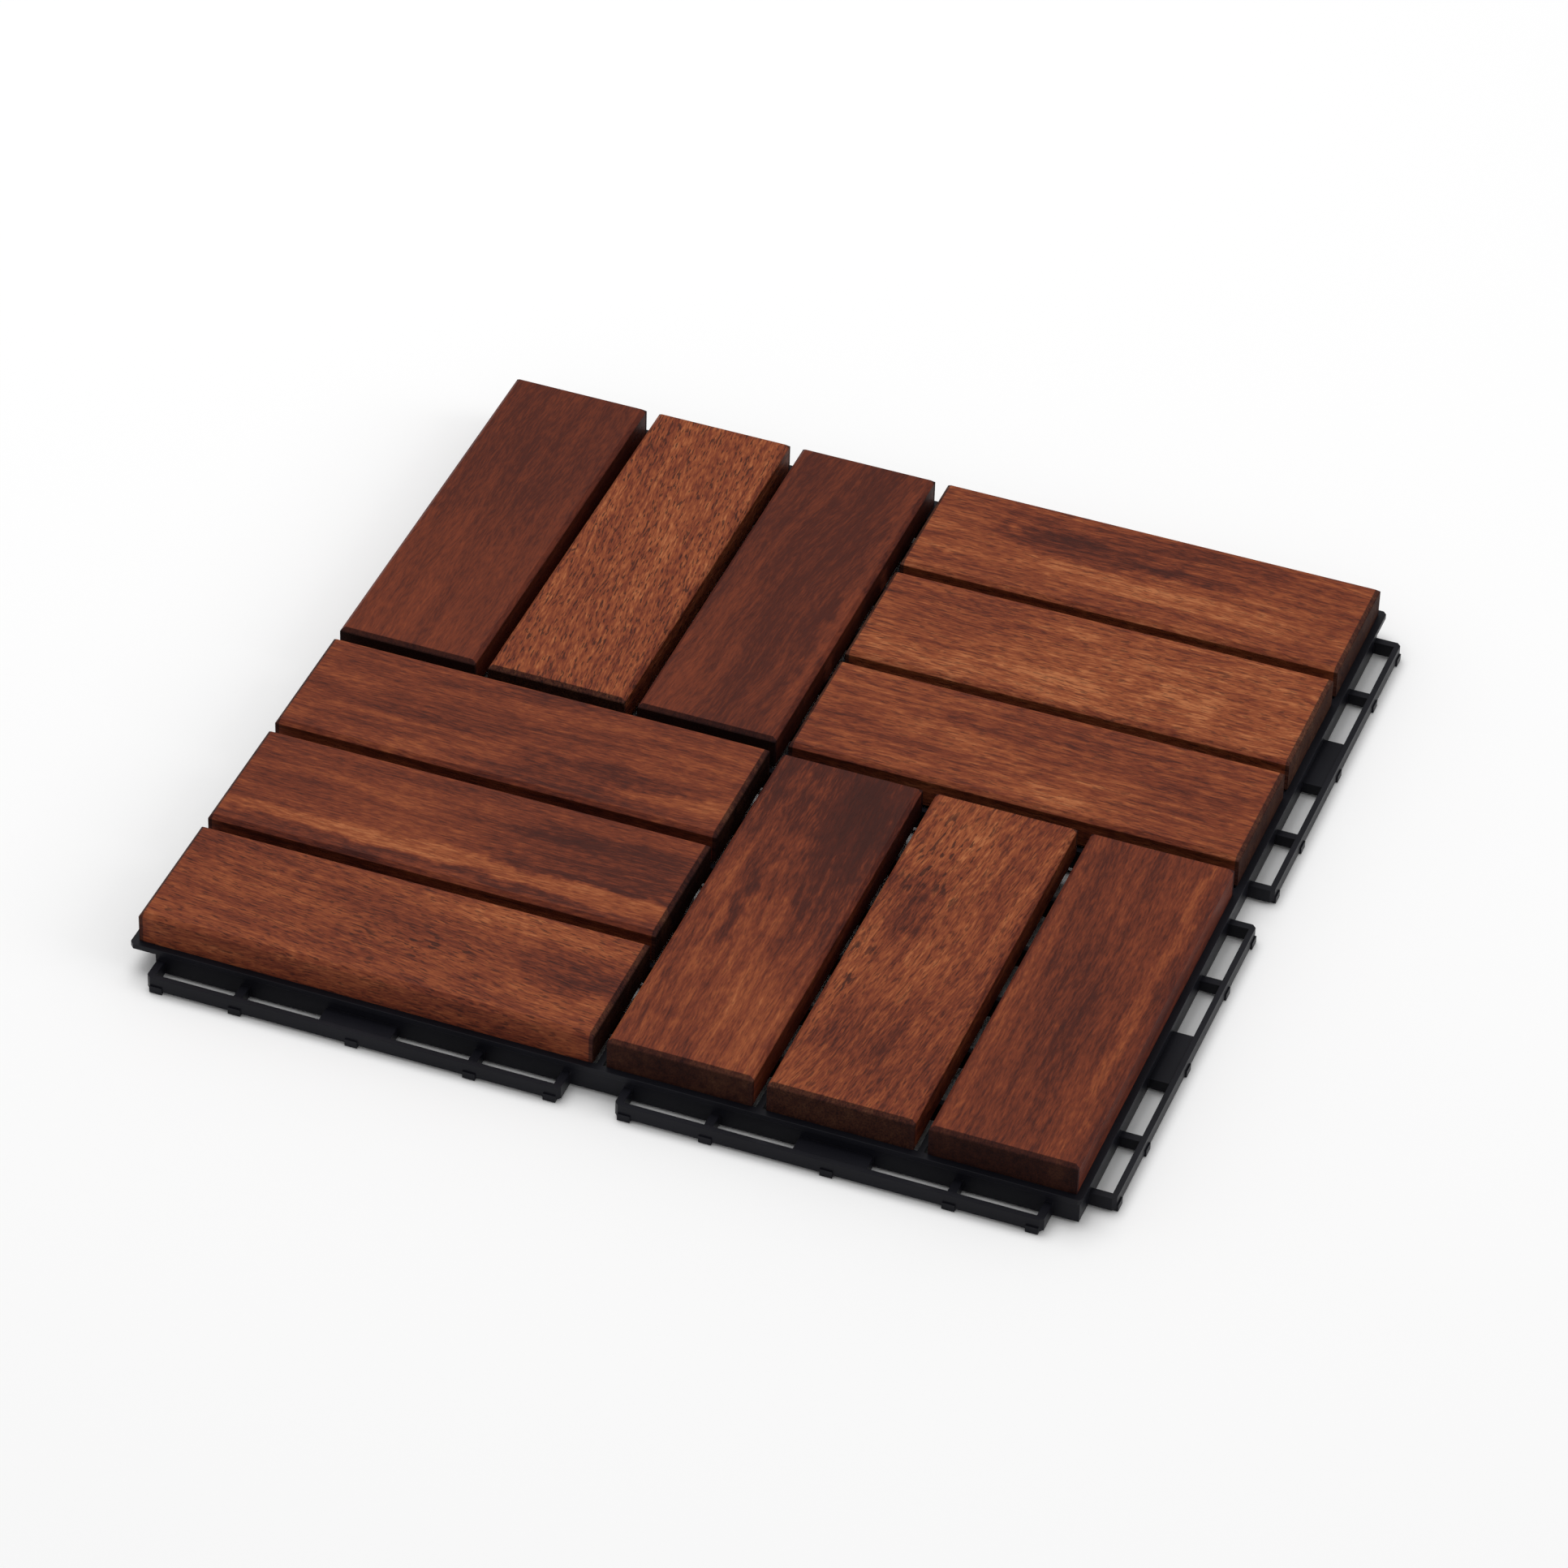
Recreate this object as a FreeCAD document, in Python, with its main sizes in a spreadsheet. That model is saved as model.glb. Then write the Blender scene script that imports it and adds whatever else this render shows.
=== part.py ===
import FreeCAD, Part
import math
import os

import Sketcher

# Interlocking deck tile, in millimetres.
# Twelve hardwood slats in four blocks of three lie on a one-piece plastic grid. Screws hold each slat
# from below. Loop bars stand out of the front and the right side of the grid. Pegs hang under its lip at
# the back and on the left, and drop into the loop bars of the tiles beside them.
# The origin is the middle of the tile on the ground. +Z is up, +X is right, and -Y is the front.

PARTS_FOLDER = "parts"
SLATS_PER_BLOCK = 3
RIBS_EACH_WAY = 4 * SLATS_PER_BLOCK - 1

# Driving sizes: alias, value in millimetres or degrees, and what it measures
DRIVING = [
    ("module_size", 300.0, "pitch at which laid tiles repeat"),
    ("laid_gap", 0.4, "gap between the lips of two laid tiles"),
    ("slat_margin", 2.3, "edge of the lip to the edge of the outer slats"),
    ("slat_gap", 4.4, "gap between slats, and between blocks of slats"),
    ("slat_thickness", 10.5, "thickness of a slat"),
    ("slat_chamfer", 1.3, "chamfer along the top edges of a slat"),
    ("base_height", 9.5, "ground to the face that the slats lie on"),
    ("lip_thickness", 1.8, "thickness of the lip"),
    ("lip_corner_cut", 1.2, "bevel across the corners of the lip"),
    ("wall_thickness", 2.0, "thickness of the skirt and of the recess wall"),
    ("rib_thickness", 2.0, "thickness of the ribs under the slats"),
    ("rib_ground_gap", 2.5, "ground to the underside of the ribs"),
    ("wall_ground_gap", 0.8, "ground to the underside of the walls"),
    ("skirt_inset", 0.6, "edge of the lip to the face of the skirt, front and right"),
    ("recess_clearance", 0.5, "recess wall to the loop bar of the tile beside it"),
    ("loop_slot_width", 6.5, "skirt to the rail of a loop bar"),
    ("rail_thickness", 1.8, "thickness of the outer rail of a loop bar"),
    ("bar_ground_gap", 0.8, "ground to the underside of a loop bar"),
    ("bar_height", 4.6, "height of a loop bar"),
    ("bar_end_clearance", 0.5, "end of a loop bar to the line of the recess wall"),
    ("bar_corner_cut", 1.2, "bevel across the outer corners of a loop bar"),
    ("loop_gap", 17.0, "gap between the two loop bars of a side"),
    ("end_wall", 2.5, "wall at each end of a loop bar"),
    ("loop_rib", 2.7, "rib between two slots of a loop bar"),
    ("loop_plate", 22.9, "solid plate in the middle of a loop bar"),
    ("plate_drop", 0.8, "top of a loop bar to the top of its ribs and plate"),
    ("bar_foot_width", 4.0, "width of a foot under a rail"),
    ("bar_foot_proud", 0.5, "how far such a foot stands out of the rail"),
    ("bar_foot_rise", 1.6, "how far such a foot reaches up the rail"),
    ("peg_end_clearance", 2.4, "end of a peg at the lip to the end of the slot that it drops into"),
    ("peg_side_clearance", 1.5, "side of a peg at the lip to the side of that slot"),
    ("peg_ground_gap", 1.2, "ground to the tip of a peg"),
    ("peg_draft", 4.0, "draft angle of a peg, in degrees"),
    ("foot_width", 8.0, "width of the square foot in the middle of the tile"),
    ("foot_height", 4.0, "height of that foot"),
    ("box_wall", 1.5, "wall of the box round a screw head"),
    ("box_clearance", 1.4, "flat of a screw head to the wall of its box, with room for the driver"),
    ("head_seat", 5.0, "ground to the face that a screw head seats on"),
    ("screw_slot_length", 5.5, "length of a screw's slot, across the slat, so that the wood can swell"),
    ("screw_diameter", 3.5, "diameter of a screw under its head"),
    ("screw_cover", 3.0, "tip of a screw to the top of its slat"),
    ("screw_head_width", 6.4, "hexagon head of a screw, across two flats"),
    ("screw_head_height", 2.4, "height of a screw head"),
    ("screw_slot_clearance", 0.2, "screw to each long side of its slot"),
    ("pilot_clearance", 0.1, "diameter of the hole in a slat beyond that of the screw"),
    ("pilot_end_clearance", 0.5, "tip of a screw to the end of its hole in the slat"),
]

# Sizes worked out from the driving ones: alias and formula
DERIVED = [
    ("lip_half", "(module_size - laid_gap) / 2"),
    ("slat_width", f"(2 * lip_half - 2 * slat_margin - {2 * SLATS_PER_BLOCK - 1} * slat_gap)"
                   f" / {2 * SLATS_PER_BLOCK}"),
    ("slat_pitch", "slat_width + slat_gap"),
    ("slat_length", f"{SLATS_PER_BLOCK} * slat_pitch - slat_gap"),
    ("block_centre", "(slat_length + slat_gap) / 2"),
    ("rib_pitch", "slat_pitch / 2"),
    ("rib_reach", f"{2 * SLATS_PER_BLOCK - 1} * rib_pitch"),
    ("lip_underside", "base_height - lip_thickness"),
    ("skirt_face", "lip_half - skirt_inset"),
    ("skirt_inner", "skirt_face - wall_thickness"),
    ("rail_inner", "skirt_face + loop_slot_width"),
    ("rail_face", "rail_inner + rail_thickness"),
    ("recess_face", "module_size - rail_face - bar_foot_proud - recess_clearance"),
    ("recess_inner", "recess_face - wall_thickness"),
    ("bar_start", "recess_face - bar_end_clearance"),
    ("bar_end", "loop_gap / 2"),
    ("bar_length", "bar_start - bar_end"),
    ("bar_top", "bar_ground_gap + bar_height"),
    ("loop_slot_length", "(bar_length - 2 * end_wall - 2 * loop_rib - loop_plate) / 4"),
    ("slot_start_1", "end_wall"),
    ("slot_start_2", "slot_start_1 + loop_slot_length + loop_rib"),
    ("slot_start_3", "slot_start_2 + loop_slot_length + loop_plate"),
    ("slot_start_4", "slot_start_3 + loop_slot_length + loop_rib"),
    ("foot_centre_1", "bar_corner_cut + bar_foot_width / 2"),
    ("foot_centre_2", "slot_start_2 - loop_rib / 2"),
    ("foot_centre_3", "bar_length / 2"),
    ("foot_centre_4", "slot_start_4 - loop_rib / 2"),
    ("foot_centre_5", "bar_length - foot_centre_1"),
    ("peg_line", "module_size - skirt_face - loop_slot_width / 2"),
    ("peg_length", "loop_slot_length - 2 * peg_end_clearance"),
    ("peg_thickness", "loop_slot_width - 2 * peg_side_clearance"),
    ("box_inside", "screw_head_width + 2 * box_clearance"),
    ("box_outside", "box_inside + 2 * box_wall"),
    ("screw_slot_width", "screw_diameter + 2 * screw_slot_clearance"),
    ("screw_length", "base_height + slat_thickness - screw_cover - head_seat"),
    ("pilot_diameter", "screw_diameter + pilot_clearance"),
    ("pilot_depth", "head_seat + screw_length + pilot_end_clearance - base_height"),
]

# Slots and feet of one loop bar, counted from its outer end
SLOTS = (1, 2, 3, 4)
BAR_FEET = (1, 2, 3, 4, 5)

os.makedirs(PARTS_FOLDER, exist_ok=True)
doc = FreeCAD.newDocument("deck_tile")


def make_sheet():
    """Put the driving sizes and the formulas into one spreadsheet."""
    sheet = doc.addObject("Spreadsheet::Sheet", "sizes")
    row = 0
    for alias, value, meaning in DRIVING:
        row += 1
        sheet.set(f"A{row}", meaning)
        sheet.set(f"B{row}", str(value))
        sheet.setAlias(f"B{row}", alias)
    for alias, formula in DERIVED:
        row += 1
        sheet.set(f"A{row}", alias.replace("_", " "))
        sheet.set(f"B{row}", "=" + formula)
        sheet.setAlias(f"B{row}", alias)
    doc.recompute()
    return sheet


def origin_feature(body, role):
    """Return the origin plane or axis of a body that has this role."""
    for feature in body.Origin.OriginFeatures:
        if feature.Role == role:
            return feature
    raise LookupError(role)


def new_body(label):
    body = doc.addObject("PartDesign::Body", label)
    body.Label = label
    return body


def new_sketch(body, name, level="0"):
    """Start a level sketch at the height that the expression gives."""
    sketch = body.newObject("Sketcher::SketchObject", name)
    sketch.AttachmentSupport = [(origin_feature(body, "XY_Plane"), "")]
    sketch.MapMode = "FlatFace"
    sketch.setExpression("AttachmentOffset.Base.z", level)
    return sketch


def fix_points(sketch, points):
    """Hold points of a sketch, each given as an edge, its end and two expressions for its place."""
    rules = []
    expressions = []
    for edge, end, across, along in points:
        rules.append(Sketcher.Constraint("DistanceX", -1, 1, edge, end, 1.0))
        rules.append(Sketcher.Constraint("DistanceY", -1, 1, edge, end, 1.0))
        expressions += [across, along]
    for index, expression in zip(sketch.addConstraint(rules), expressions):
        sketch.setExpression(f"Constraints[{index}]", expression)


def add_loop(sketch, edges):
    """Draw edges that follow each other, join them end to end and give the number of the first."""
    first = sketch.GeometryCount
    count = len(edges)
    sketch.addGeometry(edges, False)
    sketch.addConstraint([Sketcher.Constraint("Coincident", first + edge, 2, first + (edge + 1) % count, 1)
                          for edge in range(count)])
    return first


def straight_edges(points):
    """Give the straight edges of a closed outline through points."""
    corners = [FreeCAD.Vector(x, y, 0) for x, y in points]
    return [Part.LineSegment(start, end) for start, end in zip(corners, corners[1:] + corners[:1])]


def add_rectangle(sketch, left, low, right, high):
    """Draw a rectangle whose four edges lie where the four expressions say."""
    first = add_loop(sketch, straight_edges([(0, 0), (1, 0), (1, 1), (0, 1)]))
    sketch.addConstraint([Sketcher.Constraint(way, first + edge)
                          for edge, way in enumerate(("Horizontal", "Vertical", "Horizontal", "Vertical"))])
    fix_points(sketch, [(first, 1, left, low), (first + 1, 2, right, high)])


def add_centred(sketch, across, along, width, depth):
    """Draw a rectangle about a centre, all four given as expressions."""
    add_rectangle(sketch, f"{across} - {width} / 2", f"{along} - {depth} / 2",
                  f"{across} + {width} / 2", f"{along} + {depth} / 2")


def add_hexagon(sketch, width):
    """Draw a hexagon about the origin, with its width across two flats."""
    turns = range(0, 360, 60)
    rough = [(math.cos(math.radians(turn)), math.sin(math.radians(turn))) for turn in turns]
    first = add_loop(sketch, straight_edges(rough))
    fix_points(sketch, [(first + edge, 1, f"{width} / sqrt(3) * cos({turn} deg)",
                         f"{width} / sqrt(3) * sin({turn} deg)") for edge, turn in enumerate(turns)])


def add_circle(sketch, across, along, diameter):
    """Draw a circle with its centre and diameter where the expressions say."""
    first = sketch.GeometryCount
    sketch.addGeometry(Part.Circle(FreeCAD.Vector(0, 0, 0), FreeCAD.Vector(0, 0, 1), 1.0), False)
    fix_points(sketch, [(first, 3, across, along)])
    index = sketch.addConstraint(Sketcher.Constraint("Diameter", first, 2.0))
    sketch.setExpression(f"Constraints[{index}]", diameter)


def check_changed(body, before, grows):
    """Stop where a feature has added or cut nothing."""
    after = body.Shape.Volume if body.Shape.Solids else 0.0
    if (after - before) * (1 if grows else -1) <= 0:
        raise RuntimeError(f"{body.Label}: {body.Tip.Name} changed nothing")


def pad(body, sketch, name, length, draft=None, downwards=False):
    """Add material from a sketch over the length that the expression gives."""
    before = body.Shape.Volume if body.Shape.Solids else 0.0
    feature = body.newObject("PartDesign::Pad", name)
    feature.Profile = sketch
    feature.setExpression("Length", length)
    feature.Reversed = downwards
    if draft:
        feature.setExpression("TaperAngle", draft)
    doc.recompute()
    check_changed(body, before, grows=True)
    return feature


def pocket(body, sketch, name, depth, upwards=True):
    """Cut from a sketch over the depth that the expression gives."""
    before = body.Shape.Volume
    feature = body.newObject("PartDesign::Pocket", name)
    feature.Profile = sketch
    feature.setExpression("Length", depth)
    feature.Reversed = upwards
    doc.recompute()
    check_changed(body, before, grows=False)
    return feature


def row_copies(body, features, name, role, count, pitch):
    """Repeat features in a row along an origin axis of a body."""
    before = body.Shape.Volume
    pattern = body.newObject("PartDesign::LinearPattern", name)
    pattern.Originals = features
    pattern.Direction = (origin_feature(body, role), [""])
    pattern.Occurrences = count
    pattern.setExpression("Length", f"{count - 1} * {pitch}")
    body.Tip = pattern
    doc.recompute()
    check_changed(body, before, grows=True)
    return pattern


def upright_edges(shape, places):
    """Name the upright edges of a shape that stand at any of the places given as (x, y)."""
    names = []
    for index, edge in enumerate(shape.Edges, start=1):
        start = edge.Vertexes[0].Point
        end = edge.Vertexes[-1].Point
        upright = abs(start.x - end.x) + abs(start.y - end.y) < 1e-6 and abs(start.z - end.z) > 1e-6
        if upright and any(abs(start.x - x) + abs(start.y - y) < 1e-4 for x, y in places):
            names.append(f"Edge{index}")
    return names


def bevel_edges(body, name, places, size):
    """Bevel the upright edges at the places given."""
    base = body.Tip
    feature = body.newObject("PartDesign::Chamfer", name)
    feature.Base = (base, upright_edges(base.Shape, places))
    feature.setExpression("Size", size)
    body.Tip = feature
    doc.recompute()
    return feature


def add_rib_grid(body):
    """Lay ribs both ways under the slats, one under each gap and one under the middle of each slat."""
    for name, role in (("ribs_across", "Y_Axis"), ("ribs_along", "X_Axis")):
        sketch = new_sketch(body, f"{name}_sketch", "sizes.rib_ground_gap")
        near = "-sizes.rib_reach - sizes.rib_thickness / 2"
        far = "-sizes.rib_reach + sizes.rib_thickness / 2"
        if role == "Y_Axis":
            add_rectangle(sketch, "-sizes.recess_inner - sizes.wall_thickness / 2", near,
                          "sizes.skirt_inner + sizes.wall_thickness / 2", far)
        else:
            add_rectangle(sketch, near, "-sizes.skirt_inner - sizes.wall_thickness / 2",
                          far, "sizes.recess_inner + sizes.wall_thickness / 2")
        rib = pad(body, sketch, f"{name}_first", "sizes.base_height - sizes.rib_ground_gap")
        row_copies(body, [rib], name, role, RIBS_EACH_WAY, "sizes.rib_pitch")


def add_centre_foot(body):
    """Set a square foot under the ribs where the four blocks of slats meet."""
    sketch = new_sketch(body, "centre_foot_sketch")
    add_centred(sketch, "0", "0", "sizes.foot_width", "sizes.foot_width")
    pad(body, sketch, "centre_foot", "sizes.foot_height")


def add_at_screws(body, name, width, length):
    """Draw a rectangle at every screw, with its width along the slat and its length across it."""
    sketch = new_sketch(body, name)
    outer = 2 * SLATS_PER_BLOCK - 1
    for across in range(1, outer + 1, 2):
        for along in (1, outer):
            for x, y in ((across, -along), (-across, along)):
                add_centred(sketch, f"{x} * sizes.rib_pitch", f"{y} * sizes.rib_pitch", length, width)
            for x, y in ((along, across), (-along, -across)):
                add_centred(sketch, f"{x} * sizes.rib_pitch", f"{y} * sizes.rib_pitch", width, length)
    return sketch


def add_screw_boxes(body):
    """Stand a square box round each screw, which is a foot as well."""
    sketch = add_at_screws(body, "screw_boxes_sketch", "sizes.box_outside", "sizes.box_outside")
    pad(body, sketch, "screw_boxes", "sizes.base_height")


def open_screw_boxes(body):
    """Hollow each box for the head of its screw, and cut a slot through its roof for the screw."""
    sketch = add_at_screws(body, "box_hollows_sketch", "sizes.box_inside", "sizes.box_inside")
    pocket(body, sketch, "box_hollows", "sizes.head_seat")
    sketch = add_at_screws(body, "screw_slots_sketch", "sizes.screw_slot_width", "sizes.screw_slot_length")
    pocket(body, sketch, "screw_slots", "sizes.base_height")


def bar_span(side, start, end):
    """Give the ends of a stretch of a loop bar, measured from the bar's outer end."""
    if side < 0:
        return f"-sizes.bar_start + {start}", f"-sizes.bar_start + {end}"
    return f"sizes.bar_start - ({end})", f"sizes.bar_start - ({start})"


def add_front_and_right(sketch, left, low, right, high):
    """Draw a rectangle of the front side, and the same one turned to the right side."""
    add_rectangle(sketch, left, low, right, high)
    add_rectangle(sketch, f"-({high})", left, f"-({low})", right)


def add_left_and_back(sketch, left, low, right, high):
    """Draw a rectangle of the left side, and the same one turned to the back."""
    add_rectangle(sketch, left, low, right, high)
    add_rectangle(sketch, low, f"-({right})", high, f"-({left})")


def add_loop_bars(body, sheet):
    """Build two loop bars at the front and two on the right, with their feet and slots."""
    blocks = new_sketch(body, "loop_bars_sketch", "sizes.bar_ground_gap")
    feet = new_sketch(body, "bar_feet_sketch")
    trays = new_sketch(body, "bar_trays_sketch", "sizes.bar_top")
    slots = new_sketch(body, "loop_slots_sketch")
    for side in (-1, 1):
        left, right = bar_span(side, "0", "sizes.bar_length")
        add_front_and_right(blocks, left, "-sizes.rail_face", right, "-sizes.skirt_inner")
        for foot in BAR_FEET:
            left, right = bar_span(side, f"sizes.foot_centre_{foot} - sizes.bar_foot_width / 2",
                                   f"sizes.foot_centre_{foot} + sizes.bar_foot_width / 2")
            add_front_and_right(feet, left, "-(sizes.rail_face + sizes.bar_foot_proud)", right,
                                "-sizes.rail_inner")
        left, right = bar_span(side, "sizes.end_wall", "sizes.bar_length - sizes.end_wall")
        add_front_and_right(trays, left, "-sizes.rail_inner", right, "-sizes.skirt_face")
        for slot in SLOTS:
            left, right = bar_span(side, f"sizes.slot_start_{slot}",
                                   f"sizes.slot_start_{slot} + sizes.loop_slot_length")
            add_front_and_right(slots, left, "-sizes.rail_inner", right, "-sizes.skirt_face")
    pad(body, blocks, "loop_bars", "sizes.bar_height")
    ends = (sheet.bar_start, sheet.bar_end, -sheet.bar_start, -sheet.bar_end)
    places = [(end, -sheet.rail_face) for end in ends] + [(sheet.rail_face, end) for end in ends]
    bevel_edges(body, "bar_corners", places, "sizes.bar_corner_cut")
    pad(body, feet, "bar_feet", "sizes.bar_ground_gap + sizes.bar_foot_rise")
    pocket(body, trays, "bar_trays", "sizes.plate_drop", upwards=False)
    pocket(body, slots, "loop_slots", "sizes.bar_top")


def add_pegs(body):
    """Hang a drafted peg under the lip over each slot of the next tile, on the left and at the back."""
    sketch = new_sketch(body, "pegs_sketch", "sizes.lip_underside")
    for side in (-1, 1):
        for slot in SLOTS:
            middle = f"sizes.slot_start_{slot} + sizes.loop_slot_length / 2"
            low, high = bar_span(side, f"{middle} - sizes.peg_length / 2",
                                 f"{middle} + sizes.peg_length / 2")
            add_left_and_back(sketch, "-sizes.peg_line - sizes.peg_thickness / 2", low,
                              "-sizes.peg_line + sizes.peg_thickness / 2", high)
    pad(body, sketch, "pegs", "sizes.lip_underside - sizes.peg_ground_gap",
        draft="-sizes.peg_draft", downwards=True)


def add_gussets(body):
    """Brace the lip between the places of the two loop bars of the next tile."""
    sketch = new_sketch(body, "gussets_sketch", "sizes.rib_ground_gap")
    for side in (-1, 1):
        centre = f"{side} * sizes.loop_gap / 4"
        add_left_and_back(sketch, "-sizes.skirt_face", f"{centre} - sizes.rib_thickness / 2",
                          "-sizes.recess_inner - sizes.wall_thickness / 2",
                          f"{centre} + sizes.rib_thickness / 2")
    pad(body, sketch, "gussets", "sizes.lip_underside - sizes.rib_ground_gap")


def make_base_grid(sheet):
    """Build the plastic grid: lip, walls, ribs, screw boxes, loop bars and pegs in one moulding."""
    body = new_body("base_grid")
    inside = ("-sizes.recess_inner", "-sizes.skirt_inner", "sizes.skirt_inner", "sizes.recess_inner")
    sketch = new_sketch(body, "lip_sketch", "sizes.lip_underside")
    add_rectangle(sketch, "-sizes.lip_half", "-sizes.lip_half", "sizes.lip_half", "sizes.lip_half")
    add_rectangle(sketch, *inside)
    pad(body, sketch, "lip", "sizes.lip_thickness")
    half = sheet.lip_half
    places = [(x, y) for x in (-half, half) for y in (-half, half)]
    bevel_edges(body, "lip_corners", places, "sizes.lip_corner_cut")
    sketch = new_sketch(body, "walls_sketch", "sizes.wall_ground_gap")
    add_rectangle(sketch, "-sizes.recess_face", "-sizes.skirt_face", "sizes.skirt_face",
                  "sizes.recess_face")
    add_rectangle(sketch, *inside)
    pad(body, sketch, "walls", "sizes.base_height - sizes.wall_ground_gap")
    add_loop_bars(body, sheet)
    add_pegs(body)
    add_gussets(body)
    add_centre_foot(body)
    add_screw_boxes(body)
    add_rib_grid(body)
    open_screw_boxes(body)
    return body


def slat_layout():
    """Give each slat as a name, block signs, step across its block and whether it runs to the back."""
    slats = []
    blocks = (("front_left", -1, -1), ("front_right", 1, -1), ("back_left", -1, 1), ("back_right", 1, 1))
    for block, across, along in blocks:
        for number in range(SLATS_PER_BLOCK):
            step = number - (SLATS_PER_BLOCK - 1) / 2
            slats.append((f"slat_{block}_{number + 1}", across, along, step, across != along))
    return slats


def place(item, across, along, level):
    """Bind the place of an object to three expressions."""
    item.setExpression("Placement.Base.x", across)
    item.setExpression("Placement.Base.y", along)
    item.setExpression("Placement.Base.z", level)


def top_edges(shape):
    """Name the edges round the top face of a shape."""
    top = shape.BoundBox.ZMax
    return [f"Edge{index}" for index, edge in enumerate(shape.Edges, start=1)
            if abs(edge.BoundBox.ZMin - top) < 1e-6]


def make_slat(name, across, along, step, to_the_back):
    """Build one slat with chamfered top edges and two blind screw holes, and lay it on the grid."""
    body = new_body(name)
    sketch = new_sketch(body, f"{name}_outline")
    add_rectangle(sketch, "-sizes.slat_length / 2", "-sizes.slat_width / 2",
                  "sizes.slat_length / 2", "sizes.slat_width / 2")
    plank = pad(body, sketch, f"{name}_plank", "sizes.slat_thickness")
    chamfer = body.newObject("PartDesign::Chamfer", f"{name}_chamfer")
    chamfer.Base = (plank, top_edges(plank.Shape))
    chamfer.setExpression("Size", "sizes.slat_chamfer")
    body.Tip = chamfer
    doc.recompute()
    sketch = new_sketch(body, f"{name}_holes_sketch")
    for end in (-1, 1):
        add_circle(sketch, f"{end} * sizes.slat_pitch", "0", "sizes.pilot_diameter")
    pocket(body, sketch, f"{name}_holes", "sizes.pilot_depth")
    turn = 90 if to_the_back else 0
    body.Placement = FreeCAD.Placement(FreeCAD.Vector(0, 0, 0),
                                       FreeCAD.Rotation(FreeCAD.Vector(0, 0, 1), turn))
    shift = f" + {step} * sizes.slat_pitch"
    place(body,
          f"{across} * sizes.block_centre" + (shift if to_the_back else ""),
          f"{along} * sizes.block_centre" + ("" if to_the_back else shift),
          "sizes.base_height")
    return body


def make_screw_pattern():
    """Build one screw, head down, with the seat of its hexagon head at zero height."""
    body = new_body("screw_pattern")
    sketch = new_sketch(body, "screw_head_sketch", "-sizes.screw_head_height")
    add_hexagon(sketch, "sizes.screw_head_width")
    pad(body, sketch, "screw_head", "sizes.screw_head_height")
    sketch = new_sketch(body, "screw_shank_sketch")
    add_circle(sketch, "0", "0", "sizes.screw_diameter")
    pad(body, sketch, "screw_shank", "sizes.screw_length")
    return body


def make_screws(pattern, slats):
    """Place two screws under each slat, as one group of separate solids."""
    screws = []
    for name, across, along, step, to_the_back in slats:
        for end in (-1, 1):
            screw = doc.addObject("App::Link", f"{name}_screw_{len(screws) % 2 + 1}")
            screw.LinkedObject = pattern
            shifts = (f" + {step} * sizes.slat_pitch", f" + {end} * sizes.slat_pitch")
            if not to_the_back:
                shifts = shifts[::-1]
            place(screw, f"{across} * sizes.block_centre" + shifts[0],
                  f"{along} * sizes.block_centre" + shifts[1], "sizes.head_seat")
            screws.append(screw)
    group = doc.addObject("Part::Compound", "screws")
    group.Label = "screws"
    group.Links = screws
    return group


def check_and_write(nodes):
    """Check that every object is sound, then write each sub-part to its own file."""
    for item in doc.Objects:
        if "Invalid" in item.State or "Error" in item.State:
            raise RuntimeError(f"{item.Label} failed: {item.State}")
    for node in nodes:
        if node.Shape.isNull() or not node.Shape.isValid() or not node.Shape.Solids:
            raise RuntimeError(f"{node.Label} has no sound solid")
    for node in nodes:
        node.Shape.exportStep(os.path.join(PARTS_FOLDER, f"{node.Label}.step"))
        box = node.Shape.BoundBox
        print(f"{node.Label}: {len(node.Shape.Solids)} solid(s), {node.Shape.Volume / 1000:.2f} cm3,"
              f" x {box.XMin:.2f} to {box.XMax:.2f}, y {box.YMin:.2f} to {box.YMax:.2f},"
              f" z {box.ZMin:.2f} to {box.ZMax:.2f}")


sizes_sheet = make_sheet()
layout = slat_layout()
base_grid = make_base_grid(sizes_sheet)
slat_bodies = [make_slat(*slat) for slat in layout]
screw_group = make_screws(make_screw_pattern(), layout)
doc.recompute()
check_and_write([base_grid] + slat_bodies + [screw_group])
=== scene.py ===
import math

import bpy
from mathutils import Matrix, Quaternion, Vector


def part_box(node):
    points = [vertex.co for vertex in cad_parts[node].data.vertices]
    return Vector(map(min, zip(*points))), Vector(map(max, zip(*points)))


# The looks of an interlocking deck tile: oiled hardwood slats on a moulded plastic grid.
# Lengths are in metres. +Z is up, +X is right and -Y is the front.

MM = 0.001

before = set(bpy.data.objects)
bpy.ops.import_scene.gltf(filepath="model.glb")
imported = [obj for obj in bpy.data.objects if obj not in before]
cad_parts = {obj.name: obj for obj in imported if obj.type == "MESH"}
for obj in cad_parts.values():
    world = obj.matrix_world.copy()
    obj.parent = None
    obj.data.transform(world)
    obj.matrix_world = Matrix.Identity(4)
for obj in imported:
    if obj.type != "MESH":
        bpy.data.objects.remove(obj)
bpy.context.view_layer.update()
SLATS_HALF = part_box("slat_back_right_3")[1].x

# Camera: its place, what it looks at, how far it is rolled, and its lens and sensor in millimetres
CAMERA_PLACE = Vector((0.5761, -1.6191, 1.3967))
CAMERA_TARGET = Vector((0.003, -0.003, 0.008))
CAMERA_ROLL = math.radians(1.93)
CAMERA_LENS = 165.0
CAMERA_SENSOR = 36.0
CAMERA_NEAR, CAMERA_FAR = 0.05, 30.0

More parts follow.
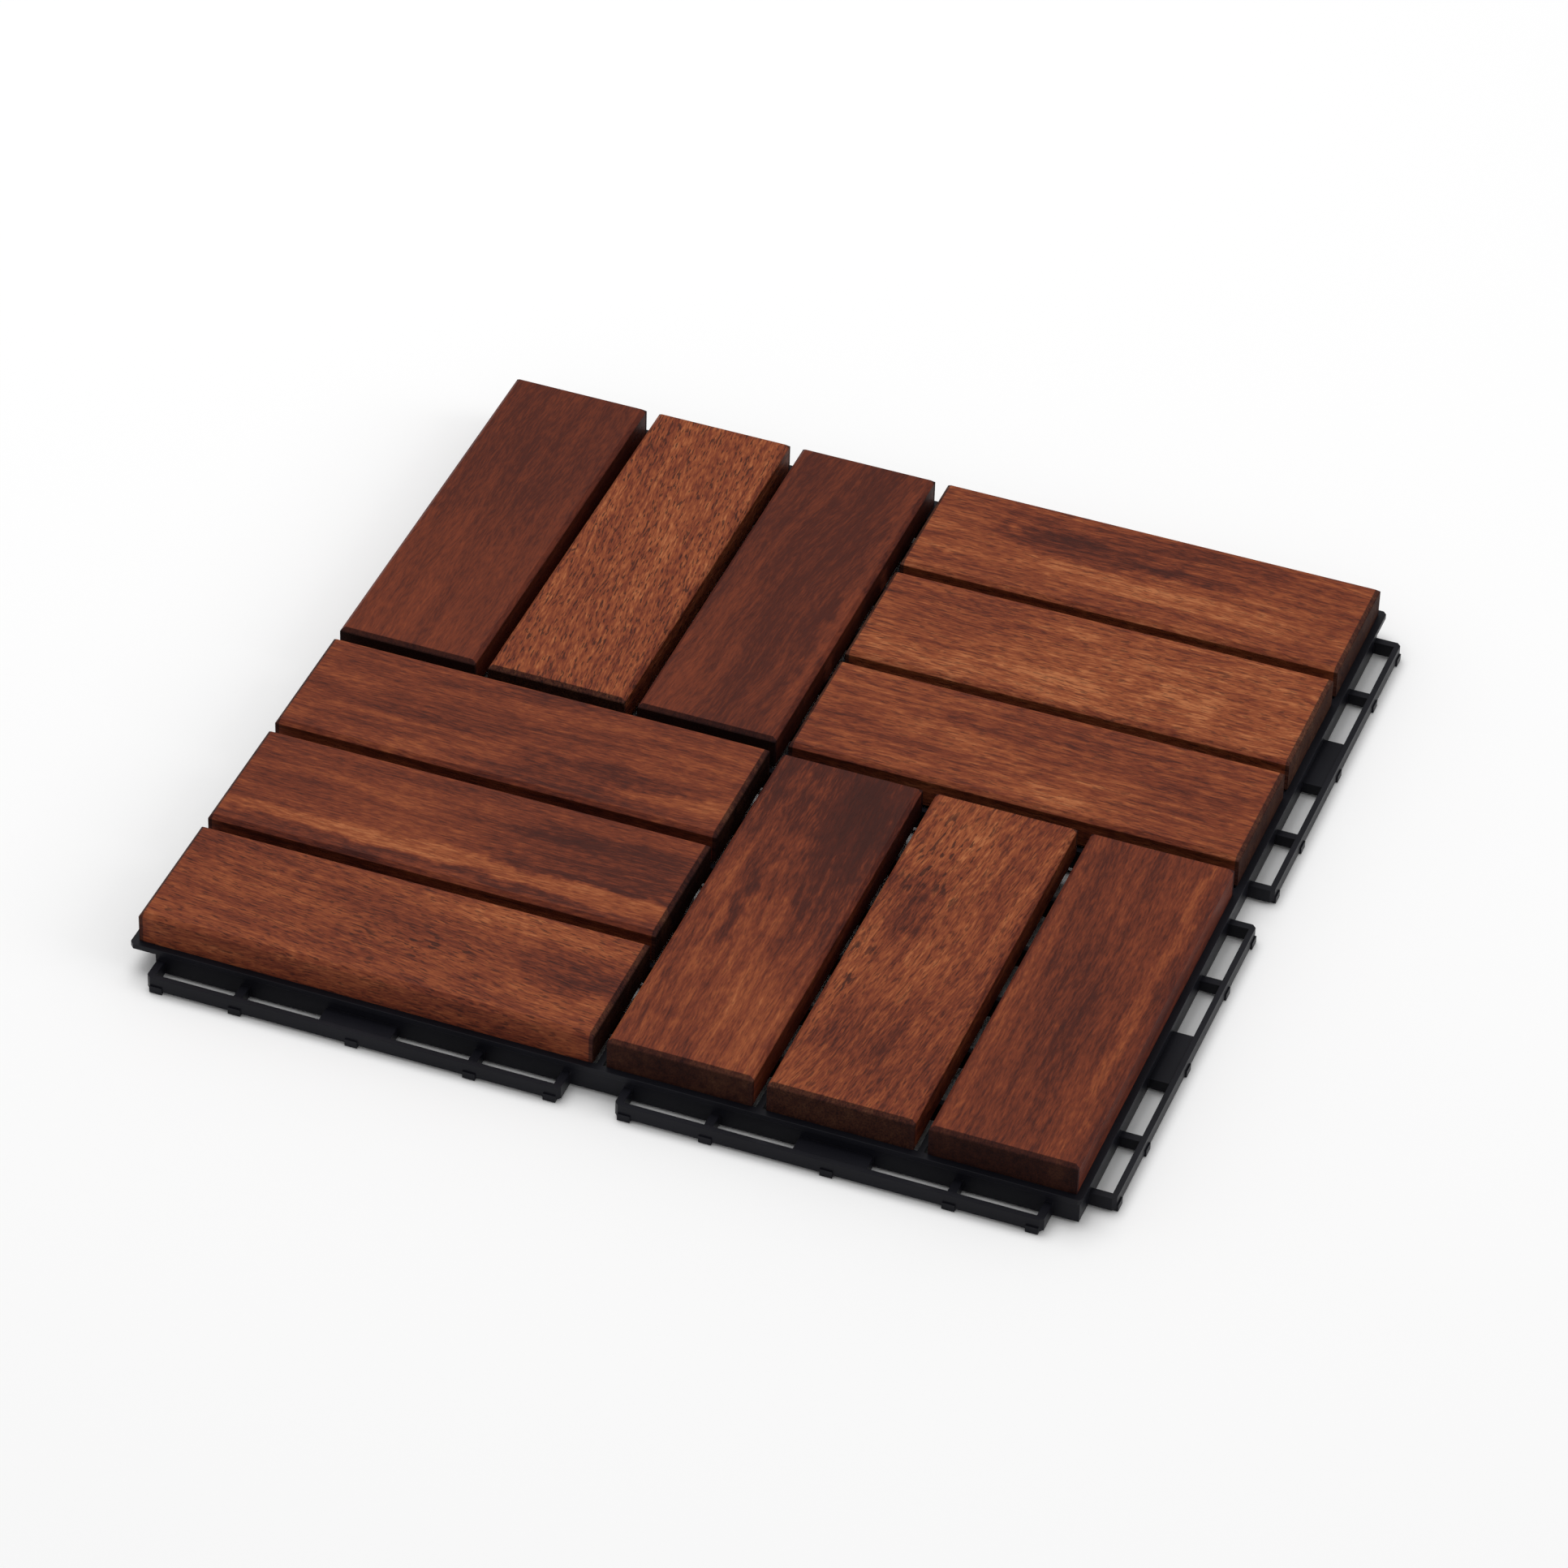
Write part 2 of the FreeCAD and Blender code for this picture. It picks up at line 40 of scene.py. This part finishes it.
# Light: the strength of the surroundings, and the place, size and watts of each softbox
WORLD_LIGHT = 0.55
LAMPS = {
    "overhead": ((-0.6, 0.5, 2.2), 1.6, 26.0),
    "right": ((2.0, 0.2, 1.2), 1.2, 8.0),
}

# Floor: its size, how far it lies under the tile, and its grey where it is seen and where it only sends light
FLOOR_SIZE = 12.0
FLOOR_DROP = 0.2 * MM
FLOOR_SEEN = (0.97, 0.97, 0.97, 1)
FLOOR_LIT = (0.70, 0.70, 0.70, 1)

# How far the sharp edges are rounded, from which angle on, and how near points are joined before that
SLAT_EDGE = 0.3 * MM
GRID_EDGE = 0.2 * MM
EDGE_ANGLE = math.radians(30)
JOIN_REACH = 0.002 * MM

# Wood tones, as linear red, green and blue, from the darkest streaks to the palest bands
WOOD_TONES = (
    (0.00, (0.046, 0.0120, 0.0085)),
    (0.25, (0.072, 0.0160, 0.0096)),
    (0.50, (0.163, 0.0350, 0.0150)),
    (0.75, (0.270, 0.0700, 0.0245)),
    (1.00, (0.415, 0.1400, 0.0530)),
)
PORE_TONE = (0.030, 0.010, 0.008, 1.0)
PORE_STRENGTH = 0.85
PORE_DEPTH = 0.8
SPECK_STRENGTH = 0.8
# The values of the noise between which a pore and a speck set in
PORE_EDGE = (0.58, 0.66)
SPECK_EDGE = (0.59, 0.65)
# Where a soft patch starts and stops to fade, in shares of its half length and half width
SPOT_FADE = (0.35, 1.45)
# What the tone is multiplied by on cut ends, at their corners (with a painted sheen), on long sides, and just
# inside a gap (painted shade)
END_GRAIN_SHADE = (0.175, 0.24, 0.37, 1.0)
# On the corners of the cut ends the end-grain darkening is made lighter and bluer: a painted sheen
END_CORNER_GRAIN_AND_SHEEN = (0.33, 0.45, 0.70, 1.0)
SIDE_SHADE = (0.93, 0.95, 1.10, 1.0)
GAP_PAINTED_SHADE = (0.55, 0.52, 0.46, 1.0)
SLAT_CHAMFER = 1.3 * MM
END_CORNER = 0.25 * MM
# How far under a slat's top the band of painted shade in a gap sets in, and fades out again
SHADE_BAND_START = (0.7 * SLAT_CHAMFER, 1.3 * SLAT_CHAMFER)
SHADE_BAND_END = (2.2 * MM, 4.5 * MM)
# How far inside the outer faces of the slats a face counts as facing a gap
OUTER_FACE_DEPTH = (0.2 * MM, 0.6 * MM)
MASK_SOFTNESS = 0.2 * MM
WOOD_ROUGHNESS = 0.42
WOOD_ROUGHNESS_SWING = 0.25
END_ROUGHNESS = 0.18
WOOD_SPECULAR = 0.08
GRAIN_HEIGHT = 0.06 * MM

# Near-black plastic: its two tones, the waves in a metre of its figure, roughness and specular level
PLASTIC_TONES = ((0.0060, 0.0060, 0.0090, 1), (0.0095, 0.0095, 0.0135, 1))
PLASTIC_CLOUD_WAVES = (28.0, 28.0, 28.0)
PLASTIC_CLOUD_EDGE = (0.3, 0.7)
PLASTIC_GRAIN_WAVES = (2600.0, 2600.0, 2600.0)
PLASTIC_FLOW_WAVES = (40.0, 40.0, 300.0)
PLASTIC_ROUGHNESS = 0.30
PLASTIC_ROUGHNESS_SWING = 0.20
PLASTIC_SPECULAR = 0.12
PLASTIC_GRAIN = 0.02 * MM

# Zinc-plated steel, likewise
STEEL_TONES = ((0.40, 0.40, 0.42, 1), (0.62, 0.60, 0.55, 1))
STEEL_CLOUD_WAVES = (420.0, 420.0, 420.0)
STEEL_SCRATCH_WAVES = (3200.0, 900.0, 900.0)
STEEL_ROUGHNESS = 0.22
STEEL_ROUGHNESS_SWING = 0.25
STEEL_GRAIN = 0.01 * MM

# The layers of figure in the wood: waves in a metre along, across and up the slat, detail and distortion
LAYERS = {
    "broad": ((9.0, 42.0, 42.0), 2.0, 0.6),
    "bands": ((6.0, 120.0, 90.0), 2.0, 0.0),
    "streaks": ((24.0, 430.0, 430.0), 2.0, 0.0),
    "fibres": ((260.0, 1700.0, 1700.0), 3.0, 0.0),
    "mottle": ((75.0, 120.0, 90.0), 4.0, 0.9),
}
# A layer's noise is multiplied by this much, so that its strength is about its spread. The fine layers
# are stronger again.
LAYER_GAIN = 8.0
FINE_LAYERS = ("fibres", "streaks")
FINE_STRENGTH = 2.5
# Waves in a metre of the fibres' sideways wander, the pores, the specks and the ragged edges of patches
WANDER_WAVES = (11.0, 20.0, 20.0)
PORE_WAVES = (280.0, 1700.0, 1700.0)
SPECK_WAVES = (210.0, 650.0, 650.0)
RAGGED_WAVES = (70.0, 110.0, 90.0)
# How fine and rough those ragged edges are, and how far they reach along and across the slat
RAGGED_DETAIL, RAGGED_ROUGHNESS = 4.0, 0.6
RAGGED_REACH = (60 * MM, 14 * MM, 0.0)
# From one slat to the next, how far apart in the log they are cut
LOG_STEP = (0.731, 0.413, 0.277)

# What each slat looks like. Every slat has all of these, and its own values replace the usual ones.
# tone: 0 dark to 1 pale; broad, bands, streaks, fibres, mottle: how strong each layer of figure is;
# pores: how dark the pores are; slant: how far the figure leans across the slat; wander: how far the
# fibres wander sideways, in millimetres; spots: soft patches as along, across, half length, half width
# and change of tone, in millimetres from the slat's middle; specks: patches of dark specks, likewise.
USUAL = {"tone": 0.50, "broad": 0.05, "bands": 0.05, "streaks": 0.035, "fibres": 0.045, "mottle": 0.04,
         "pores": 0.5, "slant": 0.0, "wander": 4.0, "spots": (), "specks": ()}
CHARACTERS = {
    "slat_back_left_1": {"tone": 0.37, "broad": 0.02, "bands": 0.012, "streaks": 0.012, "fibres": 0.025,
                         "mottle": 0.015, "pores": 0.15, "spots": ((50, 0, 50, 40, -0.06),
                                                                   (-50, 0, 50, 40, 0.05))},
    "slat_back_left_2": {"tone": 0.64, "broad": 0.03, "bands": 0.03, "streaks": 0.03, "fibres": 0.058,
                         "mottle": 0.03, "pores": 0.9, "slant": -0.10},
    "slat_back_left_3": {"tone": 0.30, "broad": 0.03, "bands": 0.03, "streaks": 0.015, "fibres": 0.025,
                         "mottle": 0.015, "pores": 0.2, "slant": 0.12, "wander": 9.0,
                         "spots": ((-10, -20, 70, 3, 0.16), (-40, 12, 40, 10, 0.06))},
    "slat_back_right_1": {"tone": 0.57, "broad": 0.04, "bands": 0.04, "streaks": 0.04, "fibres": 0.045,
                          "mottle": 0.05, "pores": 0.5,
                          "spots": ((-20, -16, 60, 5, 0.12), (40, 6, 40, 8, -0.08))},
    "slat_back_right_2": {"tone": 0.70, "broad": 0.04, "bands": 0.03, "streaks": 0.035, "fibres": 0.05,
                          "mottle": 0.06, "pores": 0.6,
                          "spots": ((35, -6, 16, 6, 0.24), (-10, -10, 30, 5, 0.14), (-55, 8, 24, 12, -0.16))},
    "slat_back_right_3": {"tone": 0.57, "broad": 0.05, "bands": 0.04, "streaks": 0.04, "fibres": 0.045,
                          "mottle": 0.05, "pores": 0.5,
                          "spots": ((-25, 5, 30, 7, -0.30), (15, 3, 26, 3, -0.24), (5, 14, 60, 8, -0.10),
                                    (-5, -9, 60, 7, 0.22))},
    "slat_front_left_1": {"tone": 0.55, "broad": 0.05, "bands": 0.04, "streaks": 0.03, "fibres": 0.045,
                          "mottle": 0.045, "pores": 0.7, "slant": 0.10,
                          "spots": ((40, 17, 45, 5, 0.22), (52, 0, 16, 9, -0.20), (56, -12, 20, 4, 0.22)),
                          "specks": ((8, -4, 18, 9),)},
    "slat_front_left_2": {"tone": 0.49, "broad": 0.04, "bands": 0.04, "streaks": 0.035, "fibres": 0.04,
                          "mottle": 0.03, "pores": 0.3, "wander": 3.0,
                          "spots": ((0, -13.5, 110, 4.2, 0.31), (0, -18.8, 100, 2.2, -0.16),
                                    (48, 5, 34, 10, -0.22), (46, -8, 30, 2, -0.18))},
    "slat_front_left_3": {"tone": 0.49, "broad": 0.05, "bands": 0.04, "streaks": 0.035, "fibres": 0.04,
                          "mottle": 0.045, "pores": 0.3,
                          "spots": ((38, -8, 34, 4, -0.26), (60, -15, 20, 4, 0.20), (-30, 8, 40, 6, 0.10))},
    "slat_front_right_1": {"tone": 0.47, "broad": 0.05, "bands": 0.07, "streaks": 0.035, "fibres": 0.035,
                           "mottle": 0.06, "pores": 0.3,
                           "spots": ((66, 0, 34, 40, -0.24), (20, -12, 40, 10, -0.16),
                                     (8, 9, 34, 2.5, -0.22), (-50, 0, 45, 30, 0.10))},
    "slat_front_right_2": {"tone": 0.56, "broad": 0.06, "bands": 0.03, "streaks": 0.03, "fibres": 0.05,
                           "mottle": 0.06, "pores": 0.6, "slant": 0.12,
                           "spots": ((28, 17, 8, 6, -0.26), (12, 10, 9, 9, -0.18), (-42, 4, 26, 12, -0.16),
                                     (58, 8, 22, 16, 0.12)),
                           "specks": ((45, 8, 30, 14), (-20, 18, 30, 4))},
    "slat_front_right_3": {"tone": 0.40, "broad": 0.03, "bands": 0.025, "streaks": 0.025, "fibres": 0.035,
                           "mottle": 0.02, "pores": 0.3, "wander": 3.0,
                           "spots": ((0, -17, 110, 2.5, 0.20), (0, 19, 110, 2, 0.12),
                                     (-5, 3, 40, 8, -0.07), (-35, -2, 20, 5, -0.06))},
}


class Nodes:
    """Adds shader nodes to a material and joins them."""

    def __init__(self, material):
        self.tree = material.node_tree
        self.tree.nodes.clear()

    def add(self, kind, inputs=None, **settings):
        node = self.tree.nodes.new(kind)
        for name, value in settings.items():
            setattr(node, name, value)
        for key, value in (inputs or {}).items():
            self.put(node.inputs[key], value)
        return node

    def put(self, socket, value):
        if isinstance(value, bpy.types.NodeSocket):
            self.tree.links.new(value, socket)
        else:
            socket.default_value = value

    def math(self, operation, a, b=0.0, c=0.0, clamp=False):
        node = self.add("ShaderNodeMath", {0: a, 1: b, 2: c}, operation=operation, use_clamp=clamp)
        return node.outputs[0]

    def vector(self, operation, a, b):
        return self.add("ShaderNodeVectorMath", {0: a, 1: b}, operation=operation).outputs[0]

    def split(self, vector):
        return self.add("ShaderNodeSeparateXYZ", {"Vector": vector}).outputs

    def ramp(self, value, start, end, low=0.0, high=1.0):
        """Run smoothly from low to high while the value runs from start to end."""
        node = self.add("ShaderNodeMapRange", {"Value": value, "From Min": start, "From Max": end,
                                               "To Min": low, "To Max": high},
                        interpolation_type="SMOOTHSTEP")
        return node.outputs["Result"]

    def noise(self, place, stretch, detail=2.0, distortion=0.0):
        """Noise whose number of waves in a metre is given along each axis."""
        scaled = self.vector("MULTIPLY", place, stretch)
        node = self.add("ShaderNodeTexNoise", {"Vector": scaled, "Scale": 1.0, "Detail": detail,
                                               "Roughness": 0.5, "Distortion": distortion})
        return node.outputs["Fac"]

    def mix(self, share, first, second, blend="MIX"):
        node = self.add("ShaderNodeMix", {0: share, 6: first, 7: second}, data_type="RGBA",
                        blend_type=blend)
        return node.outputs[2]

    def shade(self, share, color, shade):
        """Multiply a colour by a shade where the share is 1."""
        return self.mix(share, color, self.mix(1.0, color, shade, "MULTIPLY"))


def new_material(name):
    material = bpy.data.materials.new(name)
    material.use_nodes = True
    return material, Nodes(material)


def finish_material(nodes, color, roughness, bump_height, bump_depth, **fixed):
    """End a material in one shader, with the fixed values on its own sockets."""
    bump = nodes.add("ShaderNodeBump", {"Height": bump_height, "Distance": bump_depth, "Strength": 1.0})
    shader = nodes.add("ShaderNodeBsdfPrincipled", {"Base Color": color, "Roughness": roughness,
                                                    "Normal": bump.outputs["Normal"]})
    for name, value in fixed.items():
        shader.inputs[name.replace("_", " ")].default_value = value
    nodes.add("ShaderNodeOutputMaterial", {"Surface": shader.outputs["BSDF"]})


def color_ramp(nodes, value, stops):
    node = nodes.add("ShaderNodeValToRGB", {"Fac": value})
    points = node.color_ramp.elements
    while len(points) < len(stops):
        points.new(0.5)
    for point, (place, color) in zip(points, stops):
        point.position = place
        point.color = (*color, 1.0)
    return node.outputs["Color"]


def wood_material(name, number):
    """Oiled hardwood for one slat, with its grain along the slat's longer side."""
    look = {**USUAL, **CHARACTERS[name]}
    low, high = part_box(name)
    centre = (low + high) / 2
    size = high - low
    turn = math.pi / 2 if size.y > size.x else 0
    material, nodes = new_material(f"wood_{name}")
    place = nodes.add("ShaderNodeTexCoord").outputs["Object"]
    local = nodes.add("ShaderNodeMapping", {"Vector": place, "Location": (centre.x, centre.y, low.z),
                                            "Rotation": (0, 0, turn)},
                      vector_type="TEXTURE").outputs["Vector"]
    cut = nodes.vector("ADD", local, tuple(number * step for step in LOG_STEP))
    fibre = wandering_fibres(nodes, cut, nodes.split(local)[0], look)
    ragged = ragged_place(nodes, local, cut)

    value, fibre_noise = wood_figure(nodes, fibre, look)
    for spot in look["spots"]:
        value = nodes.math("ADD", value, soft_spot(nodes, ragged, *spot))
    color = color_ramp(nodes, value, WOOD_TONES)

    # Pores: short dark dashes along the fibres
    pore_mask = nodes.ramp(nodes.noise(fibre, PORE_WAVES, detail=1.0), *PORE_EDGE)
    color = nodes.mix(nodes.math("MULTIPLY", pore_mask, PORE_STRENGTH * look["pores"]), color, PORE_TONE)
    # Patches of dark specks
    specks = nodes.ramp(nodes.noise(fibre, SPECK_WAVES, detail=1.0), *SPECK_EDGE)
    for patch in look["specks"]:
        share = nodes.math("MULTIPLY", specks, soft_spot(nodes, ragged, *patch, SPECK_STRENGTH))
        color = nodes.mix(share, color, PORE_TONE)

    color, end_mask = color_sides_and_paint_light(nodes, color, place, local, size)
    roughness = nodes.math("MULTIPLY_ADD", fibre_noise, WOOD_ROUGHNESS_SWING, WOOD_ROUGHNESS)
    roughness = nodes.math("MULTIPLY_ADD", end_mask, END_ROUGHNESS, roughness, clamp=True)
    height = nodes.math("MULTIPLY_ADD", pore_mask, -PORE_DEPTH, fibre_noise)
    finish_material(nodes, color, roughness, height, GRAIN_HEIGHT, Specular_IOR_Level=WOOD_SPECULAR)
    return material


def wandering_fibres(nodes, cut, along, look):
    """The place in the log, swayed sideways so that the fibres lean and wander along the slat."""
    wander = look["wander"] * MM
    sway = nodes.math("MULTIPLY_ADD", nodes.noise(cut, WANDER_WAVES), 2 * wander, -wander)
    sway = nodes.math("ADD", sway, nodes.math("MULTIPLY", along, look["slant"]))
    sway = nodes.add("ShaderNodeCombineXYZ", {"X": 0.0, "Y": sway, "Z": 0.0}).outputs["Vector"]
    return nodes.vector("ADD", cut, sway)


def wood_figure(nodes, fibre, look):
    """Add up the layers of figure. Give the tone, and the noise of the fibres alone."""
    value = look["tone"]
    for layer, (stretch, detail, distortion) in LAYERS.items():
        gain = LAYER_GAIN * look[layer] * (FINE_STRENGTH if layer in FINE_LAYERS else 1.0)
        noise = nodes.noise(fibre, stretch, detail=detail, distortion=distortion)
        value = nodes.math("ADD", nodes.math("MULTIPLY_ADD", noise, gain, -gain / 2), value)
        if layer == "fibres":
            fibre_noise = noise
    return value, fibre_noise


def color_sides_and_paint_light(nodes, color, place, local, size):
    """Darken a slat's cut ends, tint its long sides, paint a sheen on the corners of the ends and paint shade
    on what faces a gap. Give the colour, and the mask of the ends.
    """
    along, across, up = nodes.split(local)
    half_length = max(size.x, size.y) / 2
    half_width = min(size.x, size.y) / 2
    # Cut ends drink more oil and are darker, and the long sides are a little darker than the top.
    end_mask = beyond(nodes, along, half_length - SLAT_CHAMFER)
    cut_mask = beyond(nodes, along, half_length - END_CORNER)
    side_mask = beyond(nodes, across, half_width - SLAT_CHAMFER)
    # The corners of the cut ends get a painted sheen: lighter and bluer than the end faces.
    end_grain_and_sheen = nodes.mix(cut_mask, END_CORNER_GRAIN_AND_SHEEN, END_GRAIN_SHADE)
    color = nodes.shade(side_mask, color, SIDE_SHADE)
    color = nodes.shade(end_mask, color, end_grain_and_sheen)
    # Painted shade: what faces a gap is darkened in a band just below the edge, where little light gets in.
    below = nodes.ramp(up, size.z - SHADE_BAND_START[1], size.z - SHADE_BAND_START[0], low=1.0, high=0.0)
    above = nodes.ramp(up, size.z - SHADE_BAND_END[1], size.z - SHADE_BAND_END[0])
    painted_gap_shade = nodes.math("MULTIPLY", nodes.math("MULTIPLY", below, above), inner_mask(nodes, place))
    return nodes.shade(painted_gap_shade, color, GAP_PAINTED_SHADE), end_mask


def inner_mask(nodes, place):
    """Mask what isn't on the outer faces of the whole block of slats, for the painted shade in the gaps."""
    right, back, _ = nodes.split(place)
    farthest = nodes.math("MAXIMUM", nodes.math("ABSOLUTE", right), nodes.math("ABSOLUTE", back))
    near, far = OUTER_FACE_DEPTH
    return nodes.ramp(farthest, SLATS_HALF - far, SLATS_HALF - near, low=1.0, high=0.0)


def beyond(nodes, distance, limit):
    """Mask what lies further than a limit from the slat's middle."""
    return nodes.ramp(nodes.math("ABSOLUTE", distance), limit - MASK_SOFTNESS, limit + MASK_SOFTNESS)


def ragged_place(nodes, local, cut):
    """The place on a slat, shaken a few millimetres so that patches get uneven edges."""
    scaled = nodes.vector("MULTIPLY", cut, RAGGED_WAVES)
    shake = nodes.add("ShaderNodeTexNoise", {"Vector": scaled, "Scale": 1.0, "Detail": RAGGED_DETAIL,
                                             "Roughness": RAGGED_ROUGHNESS}).outputs["Color"]
    shake = nodes.vector("SUBTRACT", shake, (0.5, 0.5, 0.5))
    shake = nodes.vector("MULTIPLY", shake, RAGGED_REACH)
    return nodes.vector("ADD", local, shake)


def soft_spot(nodes, place, along, across, half_length, half_width, change):
    """A soft patch in the tone, in millimetres from the slat's middle."""
    away = nodes.vector("SUBTRACT", place, (along * MM, across * MM, 0.0))
    scaled = nodes.vector("MULTIPLY", away, (1 / (half_length * MM), 1 / (half_width * MM), 0.0))
    distance = nodes.add("ShaderNodeVectorMath", {0: scaled}, operation="LENGTH").outputs["Value"]
    return nodes.ramp(distance, *SPOT_FADE, low=change, high=0.0)


def plastic_material():
    """Moulded near-black plastic with a fine grain."""
    material, nodes = new_material("moulded_plastic")
    place = nodes.add("ShaderNodeTexCoord").outputs["Object"]
    cloud = nodes.noise(place, PLASTIC_CLOUD_WAVES, detail=3.0)
    grain = nodes.noise(place, PLASTIC_GRAIN_WAVES)
    flow = nodes.noise(place, PLASTIC_FLOW_WAVES, distortion=0.8)
    color = nodes.mix(nodes.ramp(cloud, *PLASTIC_CLOUD_EDGE), *PLASTIC_TONES)
    roughness = nodes.math("MULTIPLY_ADD", flow, PLASTIC_ROUGHNESS_SWING, PLASTIC_ROUGHNESS)
    finish_material(nodes, color, roughness, grain, PLASTIC_GRAIN, Specular_IOR_Level=PLASTIC_SPECULAR)
    return material


def steel_material():
    """Zinc-plated steel of the screws, slightly cloudy."""
    material, nodes = new_material("screw_steel")
    place = nodes.add("ShaderNodeTexCoord").outputs["Object"]
    cloud = nodes.noise(place, STEEL_CLOUD_WAVES, detail=3.0)
    scratch = nodes.noise(place, STEEL_SCRATCH_WAVES)
    color = nodes.mix(cloud, *STEEL_TONES)
    roughness = nodes.math("MULTIPLY_ADD", scratch, STEEL_ROUGHNESS_SWING, STEEL_ROUGHNESS)
    finish_material(nodes, color, roughness, scratch, STEEL_GRAIN, Metallic=1.0)
    return material


def soften_edges(piece, width):
    """Round the sharp edges of a piece a little, without changing its own mesh."""
    weld = piece.modifiers.new("join_faces", "WELD")
    weld.merge_threshold = JOIN_REACH
    bevel = piece.modifiers.new("soft_edges", "BEVEL")
    bevel.width = width
    bevel.segments = 2
    bevel.limit_method = "ANGLE"
    bevel.angle_limit = EDGE_ANGLE
    bevel.harden_normals = False


def dress(node, material):
    """Give a piece of the frame its material on every slot."""
    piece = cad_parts[node]
    if not piece.material_slots:
        piece.data.materials.append(material)
    for slot in piece.material_slots:
        slot.material = material
    return piece


def make_floor():
    """A wide pale floor that shows white and keeps the tile's shadow. From below it is not there."""
    bpy.ops.mesh.primitive_plane_add(size=FLOOR_SIZE, location=(0, 0, -FLOOR_DROP))
    floor = bpy.context.object
    floor.name = "floor"
    material, nodes = new_material("floor")
    path = nodes.add("ShaderNodeLightPath")
    seen = nodes.math("MAXIMUM", path.outputs["Is Camera Ray"], path.outputs["Is Glossy Ray"])
    seen = nodes.math("MAXIMUM", seen, path.outputs["Is Transmission Ray"])
    color = nodes.mix(seen, FLOOR_LIT, FLOOR_SEEN)
    shader = nodes.add("ShaderNodeBsdfDiffuse", {"Color": color})
    clear = nodes.add("ShaderNodeBsdfTransparent")
    below = nodes.add("ShaderNodeNewGeometry").outputs["Backfacing"]
    both = nodes.add("ShaderNodeMixShader", {0: below, 1: shader.outputs[0], 2: clear.outputs[0]})
    nodes.add("ShaderNodeOutputMaterial", {"Surface": both.outputs[0]})
    floor.data.materials.append(material)


def make_world():
    """Soft white surroundings. What the camera sees of them is plain white."""
    world = bpy.data.worlds.new("studio")
    bpy.context.scene.world = world
    world.use_nodes = True
    nodes = Nodes(world)
    path = nodes.add("ShaderNodeLightPath")
    seen = nodes.math("MAXIMUM", path.outputs["Is Camera Ray"], path.outputs["Is Transmission Ray"])
    strength = nodes.math("MULTIPLY_ADD", seen, 1.0 - WORLD_LIGHT, WORLD_LIGHT)
    back = nodes.add("ShaderNodeBackground", {"Color": (1, 1, 1, 1), "Strength": strength})
    nodes.add("ShaderNodeOutputWorld", {"Surface": back.outputs[0]})


def make_lamp(name, place, size, power):
    """A square softbox that faces the tile."""
    light = bpy.data.lights.new(name, "AREA")
    light.shape = "SQUARE"
    light.size = size
    light.energy = power
    lamp = bpy.data.objects.new(name, light)
    bpy.context.scene.collection.objects.link(lamp)
    lamp.location = place
    lamp.rotation_mode = "QUATERNION"
    lamp.rotation_quaternion = (-Vector(place)).to_track_quat("-Z", "Y")


def make_camera():
    """A camera at the photograph's viewing angle, closer in."""
    data = bpy.data.cameras.new("camera")
    data.lens = CAMERA_LENS
    data.sensor_width = CAMERA_SENSOR
    data.clip_start = CAMERA_NEAR
    data.clip_end = CAMERA_FAR
    camera = bpy.data.objects.new("camera", data)
    bpy.context.scene.collection.objects.link(camera)
    camera.location = CAMERA_PLACE
    look = (CAMERA_TARGET - CAMERA_PLACE).to_track_quat("-Z", "Y")
    camera.rotation_mode = "QUATERNION"
    camera.rotation_quaternion = look @ Quaternion((0, 0, 1), CAMERA_ROLL)
    bpy.context.scene.camera = camera


for number, name in enumerate(sorted(CHARACTERS), start=1):
    slat = dress(name, wood_material(name, number))
    soften_edges(slat, SLAT_EDGE)
base = dress("base_grid", plastic_material())
soften_edges(base, GRID_EDGE)
dress("screws", steel_material())

make_floor()
make_world()
for name, (place, size, power) in LAMPS.items():
    make_lamp(name, place, size, power)
make_camera()
bpy.context.scene.view_settings.view_transform = "Standard"
